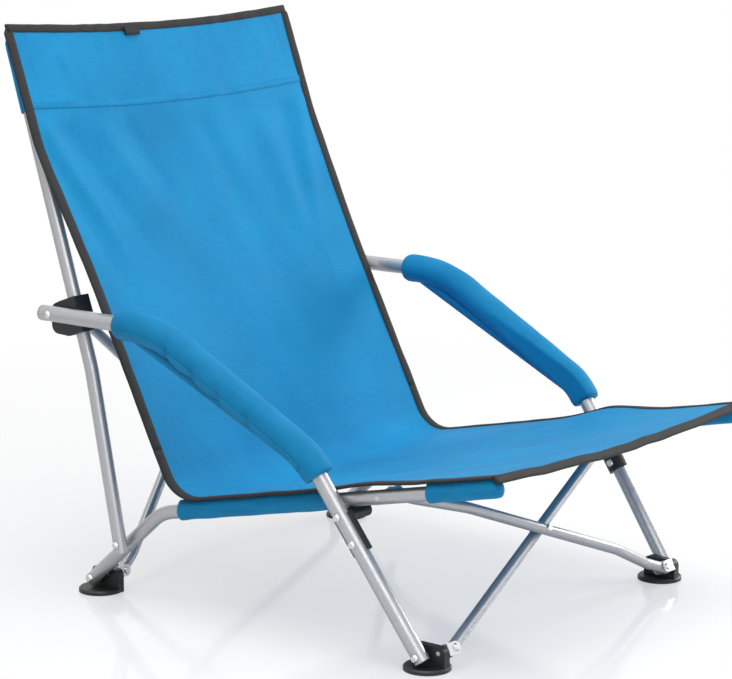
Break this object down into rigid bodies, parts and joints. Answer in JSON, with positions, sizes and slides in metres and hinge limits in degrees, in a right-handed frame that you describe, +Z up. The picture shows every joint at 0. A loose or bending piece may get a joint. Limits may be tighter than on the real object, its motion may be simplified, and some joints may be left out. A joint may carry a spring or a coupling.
{
  "type": "folding camp chair",
  "caption": "Low folding camp chair with a fabric sling seat and back on a bent tube frame, padded arms and crossed tubes that scissor flat.",
  "frame": {"origin": "on the floor, under the middle of the chair's box", "axes": "+Z up, -Y is the way the sitter faces, +X is the sitter's left"},
  "size_m": [0.5622, 0.718, 0.6569],
  "materials": {
    "grey_tube": "grey powder coat on steel tube",
    "black_plastic": "fine-textured moulded plastic",
    "grey_plug": "moulded plastic end plug",
    "zinc_steel": "bright zinc plate",
    "blue_fabric": "plain-woven coated polyester",
    "blue_padding": "woven polyester over foam",
    "dark_binding": "woven edge tape",
    "plain_label": "folded woven tab, bare"
  },
  "bodies": {
    "right_front_foot": {"front_foot_right": "black_plastic", "front_foot_clip_right": "zinc_steel", "front_foot_rivets_right": "zinc_steel"},
    "right_front_cross": {"front_cross_tube_right": "grey_tube", "front_cross_rivet": "zinc_steel"},
    "right_rail_clip": {"rail_clip_right": "zinc_steel", "rail_clip_rivet_right": "zinc_steel"},
    "back_sling": {"back_panel": "blue_fabric", "back_binding": "dark_binding", "label_loop": "plain_label"},
    "right_rail": {"seat_rail_right": "grey_tube", "rail_rivets_right": "zinc_steel", "rail_sleeve_right": "blue_fabric", "corner_pocket_right": "blue_fabric", "seat_panel": "blue_fabric", "seat_binding": "dark_binding"},
    "right_back_tube": {"back_tube_right": "grey_tube", "back_tube_plug_right": "grey_plug"},
    "right_rear_foot": {"rear_foot_right": "black_plastic", "rear_foot_rivets_right": "zinc_steel"},
    "right_slider": {"arm_slider_right": "black_plastic"},
    "right_arm": {"arm_leg_tube_right": "grey_tube", "arm_sleeve_right": "blue_padding", "arm_end_plug_right": "grey_plug", "arm_pivot_rivet_right": "zinc_steel", "leg_bracket_right": "black_plastic", "leg_bracket_rivets_right": "zinc_steel"},
    "right_rear_clip": {"rear_foot_clip_right": "zinc_steel", "rear_foot_clip_rivet_right": "zinc_steel"},
    "right_rear_cross": {"rear_cross_tube_right": "grey_tube", "rear_cross_rivet": "zinc_steel"},
    "right_slider_clip": {"slider_clip_right": "zinc_steel", "slider_clip_rivet_right": "zinc_steel"},
    "left_front_foot": {"front_foot_left": "black_plastic", "front_foot_clip_left": "zinc_steel", "front_foot_rivets_left": "zinc_steel"},
    "left_front_cross": {"front_cross_tube_left": "grey_tube"},
    "left_rail_clip": {"rail_clip_left": "zinc_steel", "rail_clip_rivet_left": "zinc_steel"},
    "left_rail": {"seat_rail_left": "grey_tube", "rail_rivets_left": "zinc_steel", "rail_sleeve_left": "blue_fabric", "corner_pocket_left": "blue_fabric"},
    "left_back_tube": {"back_tube_left": "grey_tube", "back_tube_plug_left": "grey_plug"},
    "left_rear_foot": {"rear_foot_left": "black_plastic", "rear_foot_rivets_left": "zinc_steel"},
    "left_slider": {"arm_slider_left": "black_plastic"},
    "left_arm": {"arm_leg_tube_left": "grey_tube", "arm_sleeve_left": "blue_padding", "arm_end_plug_left": "grey_plug", "arm_pivot_rivet_left": "zinc_steel", "leg_bracket_left": "black_plastic", "leg_bracket_rivets_left": "zinc_steel"},
    "left_rear_clip": {"rear_foot_clip_left": "zinc_steel", "rear_foot_clip_rivet_left": "zinc_steel"},
    "left_rear_cross": {"rear_cross_tube_left": "grey_tube"},
    "left_slider_clip": {"slider_clip_left": "zinc_steel", "slider_clip_rivet_left": "zinc_steel"}
  },
  "joints": [
    {"name": "fold", "type": "hinge", "parent": "right_front_foot", "child": "right_front_cross", "pos_m": [-0.20672, -0.2746, 0.02], "axis": [0, -0.9067, 0.4218], "range_deg": [0, 50], "deforming": ["seat_panel", "seat_binding", "back_panel", "back_binding", "label_loop"]},
    {"name": "front_cross_pivot", "type": "hinge", "parent": "right_front_cross", "child": "left_front_cross", "pos_m": [0, -0.2379, 0.0989], "axis": [0, -0.9067, 0.4218], "range_deg": [-100.01, 0]},
    {"name": "left_foot_pivot", "type": "hinge", "parent": "left_front_cross", "child": "left_front_foot", "pos_m": [0.20672, -0.2746, 0.02], "axis": [0, -0.9067, 0.4218], "range_deg": [0, 50.01]},
    {"name": "left_rail_clip_turn", "type": "hinge", "parent": "right_front_cross", "child": "left_rail_clip", "pos_m": [0.2101, -0.2006, 0.17908], "axis": [0, -0.9067, 0.4218], "range_deg": [-50.01, 0]},
    {"name": "right_rail_clip_turn", "type": "hinge", "parent": "left_front_cross", "child": "right_rail_clip", "pos_m": [-0.2101, -0.2006, 0.17908], "axis": [0, -0.9067, 0.4218], "range_deg": [0, 50.01]},
    {"name": "right_rail_pivot", "type": "hinge", "parent": "right_rail_clip", "child": "right_rail", "pos_m": [-0.232, -0.2006, 0.17908], "axis": [1, 0, 0], "range_deg": [-40.41, 0]},
    {"name": "right_rear_foot_pivot", "type": "hinge", "parent": "right_rail", "child": "right_rear_foot", "pos_m": [-0.232, 0.2294, 0.016], "axis": [1, 0, 0], "range_deg": [0, 40.41]},
    {"name": "right_back_pivot", "type": "hinge", "parent": "right_rail", "child": "right_back_tube", "pos_m": [-0.2515, 0.1674, 0.06954], "axis": [1, 0, 0], "range_deg": [0, 66.8]},
    {"name": "right_slider_travel", "type": "slide", "parent": "right_back_tube", "child": "right_slider", "axis": [0.0362, 0.3356, 0.9413], "range_m": [0, 0.15484]},
    {"name": "right_leg_pivot", "type": "hinge", "parent": "right_front_foot", "child": "right_arm", "pos_m": [-0.24, -0.2586, 0.016], "axis": [1, 0, 0], "range_deg": [0, 25.32]},
    {"name": "right_rear_clip_turn", "type": "hinge", "parent": "right_rear_foot", "child": "right_rear_clip", "pos_m": [-0.2006, 0.2154, 0.02], "axis": [1, 0, 0], "range_deg": [0, 13.34]},
    {"name": "right_rear_cross_turn", "type": "hinge", "parent": "right_rear_clip", "child": "right_rear_cross", "pos_m": [-0.2006, 0.2154, 0.02], "axis": [0, -0.9895, 0.1446], "range_deg": [0, 40.61]},
    {"name": "left_slider_clip_turn", "type": "hinge", "parent": "right_rear_cross", "child": "left_slider_clip", "pos_m": [0.21547, 0.25856, 0.31534], "axis": [0, -0.9895, 0.1446], "range_deg": [-40.61, 0]},
    {"name": "left_rail_pivot", "type": "hinge", "parent": "left_rail_clip", "child": "left_rail", "pos_m": [0.232, -0.2006, 0.17908], "axis": [1, 0, 0], "range_deg": [-40.41, 0]},
    {"name": "left_rear_foot_pivot", "type": "hinge", "parent": "left_rail", "child": "left_rear_foot", "pos_m": [0.232, 0.2294, 0.016], "axis": [1, 0, 0], "range_deg": [0, 40.41]},
    {"name": "left_back_pivot", "type": "hinge", "parent": "left_rail", "child": "left_back_tube", "pos_m": [0.2515, 0.1674, 0.06954], "axis": [1, 0, 0], "range_deg": [0, 66.8]},
    {"name": "left_slider_travel", "type": "slide", "parent": "left_back_tube", "child": "left_slider", "axis": [-0.0362, 0.3356, 0.9413], "range_m": [0, 0.15484]},
    {"name": "left_leg_pivot", "type": "hinge", "parent": "left_front_foot", "child": "left_arm", "pos_m": [0.24, -0.2586, 0.016], "axis": [1, 0, 0], "range_deg": [0, 25.32]},
    {"name": "left_rear_clip_turn", "type": "hinge", "parent": "left_rear_foot", "child": "left_rear_clip", "pos_m": [0.2006, 0.2154, 0.02], "axis": [1, 0, 0], "range_deg": [0, 13.34]},
    {"name": "left_rear_cross_turn", "type": "hinge", "parent": "left_rear_clip", "child": "left_rear_cross", "pos_m": [0.2006, 0.2154, 0.02], "axis": [0, -0.9895, 0.1446], "range_deg": [-40.61, 0]},
    {"name": "right_slider_clip_turn", "type": "hinge", "parent": "left_rear_cross", "child": "right_slider_clip", "pos_m": [-0.21547, 0.25856, 0.31534], "axis": [0, -0.9895, 0.1446], "range_deg": [0, 40.61]},
    {"name": "back_sling_turn", "type": "hinge", "parent": "right_rail", "child": "back_sling", "pos_m": [-0.232, 0.12181, 0.18463], "axis": [1, 0, 0], "range_deg": [0, 82.31]}
  ],
  "couplings": [
    {"joint": "front_cross_pivot", "follows": "fold", "ratio": -2},
    {"joint": "left_foot_pivot", "follows": "fold", "ratio": 1},
    {"joint": "left_rail_clip_turn", "follows": "fold", "ratio": -1},
    {"joint": "right_rail_clip_turn", "follows": "fold", "ratio": 1},
    {"joint": "right_rail_pivot", "follows": "fold", "ratio": -0.8079},
    {"joint": "right_rear_foot_pivot", "follows": "fold", "ratio": 0.8079},
    {"joint": "right_back_pivot", "follows": "fold", "ratio": 1.3358},
    {"joint": "right_slider_travel", "follows": "fold", "m_per_rad": 0.17742},
    {"joint": "right_leg_pivot", "follows": "fold", "ratio": 0.5062},
    {"joint": "right_rear_clip_turn", "follows": "fold", "ratio": 0.2665},
    {"joint": "right_rear_cross_turn", "follows": "fold", "ratio": 0.812},
    {"joint": "left_slider_clip_turn", "follows": "fold", "ratio": -0.812},
    {"joint": "left_rail_pivot", "follows": "fold", "ratio": -0.8079},
    {"joint": "left_rear_foot_pivot", "follows": "fold", "ratio": 0.8079},
    {"joint": "left_back_pivot", "follows": "fold", "ratio": 1.3358},
    {"joint": "left_slider_travel", "follows": "fold", "m_per_rad": 0.17742},
    {"joint": "left_leg_pivot", "follows": "fold", "ratio": 0.5062},
    {"joint": "left_rear_clip_turn", "follows": "fold", "ratio": 0.2665},
    {"joint": "left_rear_cross_turn", "follows": "fold", "ratio": -0.812},
    {"joint": "right_slider_clip_turn", "follows": "fold", "ratio": 0.812},
    {"joint": "back_sling_turn", "follows": "fold", "ratio": 1.646}
  ]
}
